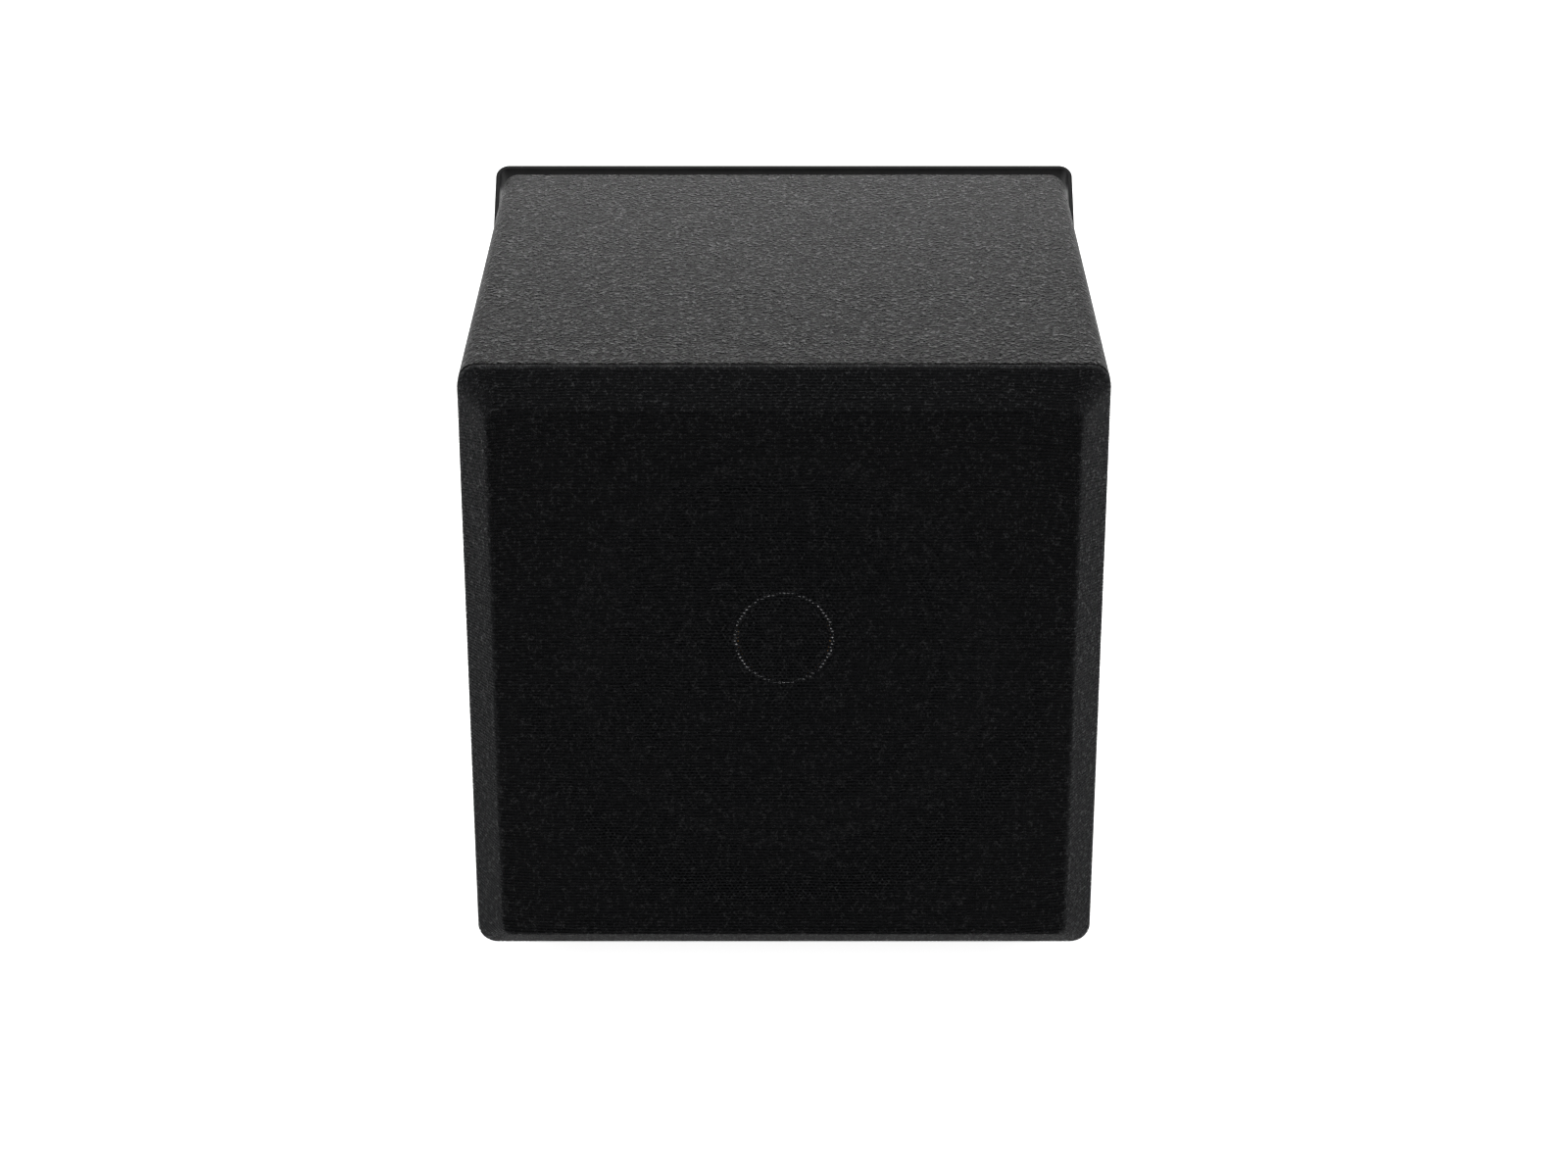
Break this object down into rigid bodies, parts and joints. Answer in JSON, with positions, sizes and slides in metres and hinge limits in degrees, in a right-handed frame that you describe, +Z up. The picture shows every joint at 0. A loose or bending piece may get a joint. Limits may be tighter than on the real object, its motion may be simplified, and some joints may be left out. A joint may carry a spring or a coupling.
{
  "type": "subwoofer",
  "caption": "Near-cubic subwoofer with rounded long edges, a full-face cloth grille over a recessed driver, and a U-shaped steel bracket that swings round it.",
  "frame": {"origin": "under the middle of the whole object at rest, on the plane that its feet stand on", "axes": "+X to the right seen from the front, +Y from the grille to the back, +Z up"},
  "size_m": [0.4168, 0.4478, 0.391],
  "materials": {
    "cabinet_paint": "structured dark grey paint on fibreboard",
    "baffle_black": "flat black paint on fibreboard",
    "raw_board": "bare fibreboard",
    "grille_frame": "flat black paint on fibreboard",
    "grille_cloth": "knitted black acoustic cloth",
    "bracket_paint": "satin black powder coat",
    "black_plastic": "moulded, fine texture",
    "red_plastic": "moulded, satin",
    "rubber": "matte",
    "cone_paper": "pressed black pulp",
    "black_steel": "black zinc",
    "plated_steel": "zinc plated",
    "bright_trim": "bright anodised",
    "basket_paint": "black powder coat",
    "ferrite": "sintered, matte",
    "plated_brass": "gold plated",
    "copper_wire": "enamelled copper winding",
    "spider_cloth": "resin-treated cotton",
    "former_film": "polyimide film",
    "wadding": "polyester wadding",
    "circuit_board": "green solder mask",
    "lead_black": "insulated wire",
    "lead_red": "insulated wire"
  },
  "bodies": {
    "cabinet": {"top_panel": "cabinet_paint", "bottom_panel": "cabinet_paint", "left_panel": "cabinet_paint", "right_panel": "cabinet_paint", "front_baffle": "baffle_black", "back_panel": "cabinet_paint", "cross_brace": "raw_board", "acoustic_wadding": "wadding", "port_tube": "black_plastic", "terminal_cup": "black_plastic", "binding_post_1": "plated_brass", "binding_post_2": "plated_brass", "crossover_board": "circuit_board", "crossover_coil": "copper_wire", "crossover_capacitor": "black_plastic", "driver_lead_1": "lead_black", "driver_lead_2": "lead_red", "driver_basket": "basket_paint", "driver_gasket": "rubber", "driver_top_plate": "plated_steel", "driver_magnet": "ferrite", "driver_yoke": "plated_steel", "driver_spider": "spider_cloth", "driver_surround": "rubber", "driver_tag_strip": "black_plastic", "driver_screw_1": "black_steel", "driver_screw_2": "black_steel", "driver_screw_3": "black_steel", "driver_screw_4": "black_steel", "driver_screw_5": "black_steel", "driver_screw_6": "black_steel", "grille_socket_1": "black_plastic", "grille_socket_2": "black_plastic", "grille_socket_3": "black_plastic", "grille_socket_4": "black_plastic", "bracket_washer_left": "rubber", "bracket_washer_right": "rubber", "threaded_insert_left": "plated_brass", "threaded_insert_right": "plated_brass", "foot_1": "rubber", "foot_2": "rubber", "foot_3": "rubber", "foot_4": "rubber"},
    "driver_moving_parts": {"driver_cone": "cone_paper", "driver_cap_ring": "bright_trim", "driver_dust_cap": "cone_paper", "voice_coil_former": "former_film", "voice_coil": "copper_wire"},
    "grille": {"grille_board": "grille_frame", "grille_cloth": "grille_cloth", "grille_peg_1": "black_plastic", "grille_peg_2": "black_plastic", "grille_peg_3": "black_plastic", "grille_peg_4": "black_plastic"},
    "bracket": {"bracket": "bracket_paint"},
    "clamp_knob_left": {"clamp_knob_left": "black_plastic"},
    "clamp_knob_right": {"clamp_knob_right": "black_plastic"},
    "binding_knob_1": {"binding_knob_1": "black_plastic"},
    "binding_knob_2": {"binding_knob_2": "red_plastic"}
  },
  "joints": [
    {"name": "bracket_swing", "type": "hinge", "parent": "cabinet", "child": "bracket", "pos_m": [0, -0.00735, 0.1985], "axis": [1, 0, 0], "range_deg": [-128.9, 51.1]},
    {"name": "clamp_knob_left_turn", "type": "hinge", "parent": "cabinet", "child": "clamp_knob_left", "pos_m": [-0.2, -0.00735, 0.1985], "axis": [-1, 0, 0], "continuous": true},
    {"name": "clamp_knob_right_turn", "type": "hinge", "parent": "cabinet", "child": "clamp_knob_right", "pos_m": [0.2, -0.00735, 0.1985], "axis": [1, 0, 0], "continuous": true},
    {"name": "cone_travel", "type": "slide", "parent": "cabinet", "child": "driver_moving_parts", "axis": [0, -1, 0], "range_m": [-0.006, 0.006], "stiffness_N_per_m": 3700, "deforming": ["driver_surround", "driver_spider"]},
    {"name": "grille_pull", "type": "slide", "parent": "cabinet", "child": "grille", "axis": [0, -1, 0], "range_m": [0, 0.045]},
    {"name": "binding_knob_1_turn", "type": "hinge", "parent": "cabinet", "child": "binding_knob_1", "pos_m": [-0.0125, 0.17865, 0.1135], "axis": [0, 1, 0], "continuous": true},
    {"name": "binding_knob_2_turn", "type": "hinge", "parent": "cabinet", "child": "binding_knob_2", "pos_m": [0.0125, 0.17865, 0.1135], "axis": [0, 1, 0], "continuous": true}
  ]
}
